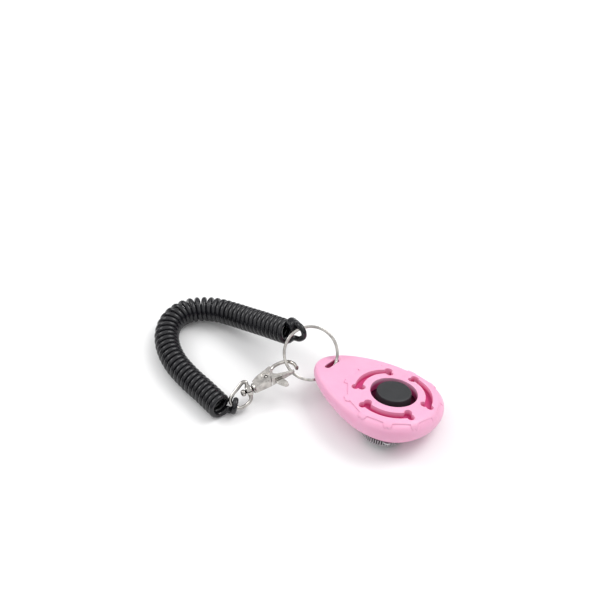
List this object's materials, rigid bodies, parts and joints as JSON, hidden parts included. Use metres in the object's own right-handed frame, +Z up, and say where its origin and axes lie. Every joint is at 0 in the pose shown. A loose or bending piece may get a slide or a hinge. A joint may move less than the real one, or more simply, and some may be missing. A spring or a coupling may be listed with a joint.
{
  "type": "training clicker with wrist strap",
  "caption": "Egg-shaped clicker with a press button and a sound dial, hung by a split ring and a swivel snap hook on a coiled wrist cord.",
  "frame": {"origin": "on the surface it lies on, under the middle of the clicker, ring and snap hook taken together, without the coil", "axes": "+X along the clicker from its narrow end to its wide end, +Y across it, +Z up"},
  "size_m": [0.1413, 0.0728, 0.0264],
  "materials": {
    "pink_shell": "semi-gloss moulded plastic, light pink",
    "black_plastic": "satin black plastic",
    "pale_plastic": "pale translucent plastic",
    "nickel": "bright nickel plate",
    "steel": "bright steel",
    "cord": "satin black plastic cord"
  },
  "bodies": {
    "clicker": {"top_shell": "pink_shell", "bottom_shell": "pink_shell", "reed_clamp": "steel", "reed_screw": "steel", "housing_screw_1": "steel", "housing_screw_2": "steel", "housing_screw_3": "steel", "dial_retainer": "steel", "dial_screw": "steel"},
    "button": {"button_cap": "black_plastic"},
    "reed": {"click_reed": "steel"},
    "dial": {"volume_dial": "pale_plastic"},
    "ring": {"split_ring": "nickel"},
    "hook": {"hook_body": "nickel", "gate_pin": "nickel", "gate_spring": "steel", "swivel_stud": "nickel"},
    "gate": {"hook_gate": "nickel"},
    "eye": {"swivel_eye": "nickel"},
    "coil": {"coil_cord": "cord", "coil_upper_loop": "cord", "coil_lower_loop": "cord"}
  },
  "joints": [
    {"name": "button_press", "type": "slide", "parent": "clicker", "child": "button", "axis": [0.0375, -0.213, -0.9763], "range_m": [0, 0.0015], "stiffness_N_per_m": 1500, "springref_m": -0.0003},
    {"name": "reed_flex", "type": "hinge", "parent": "clicker", "child": "reed", "pos_m": [0.03512, 0.00841, 0.00894], "axis": [-0.0082, -0.977, 0.2129], "range_deg": [0, 7.5]},
    {"name": "dial_turn", "type": "hinge", "parent": "clicker", "child": "dial", "pos_m": [0.02171, -0.00101, 0.00372], "axis": [-0.0375, 0.213, 0.9763], "range_deg": [0, 120]},
    {"name": "ring_swing", "type": "hinge", "parent": "clicker", "child": "ring", "pos_m": [-0.01497, 0.00906, 0.01025], "axis": [0.107, 0.8543, 0.5086], "range_deg": [-10, 10]},
    {"name": "hook_swing", "type": "hinge", "parent": "ring", "child": "hook", "pos_m": [-0.02973, -0.00294, 0.01183], "axis": [-0.3136, 0.6764, 0.6664], "range_deg": [-6, 2]},
    {"name": "gate_open", "type": "hinge", "parent": "hook", "child": "gate", "pos_m": [-0.03344, -0.01337, 0.0098], "axis": [-0.0844, -0.1615, 0.9833], "range_deg": [0, 3], "stiffness_Nm_per_rad": 0.012, "springref_deg": -17.19},
    {"name": "swivel_turn", "type": "hinge", "parent": "hook", "child": "eye", "pos_m": [-0.03639, -0.02226, 0.00808], "axis": [0.4555, 0.8714, 0.1822], "range_deg": [-8, 8]},
    {"name": "coil_swing", "type": "hinge", "parent": "hook", "child": "coil", "pos_m": [-0.03787, -0.03053, 0.00412], "axis": [0.0864, 0.9031, 0.4206], "range_deg": [-8, 8]}
  ],
  "couplings": [
    {"joint": "reed_flex", "follows": "button_press", "rad_per_m": 63.39}
  ]
}
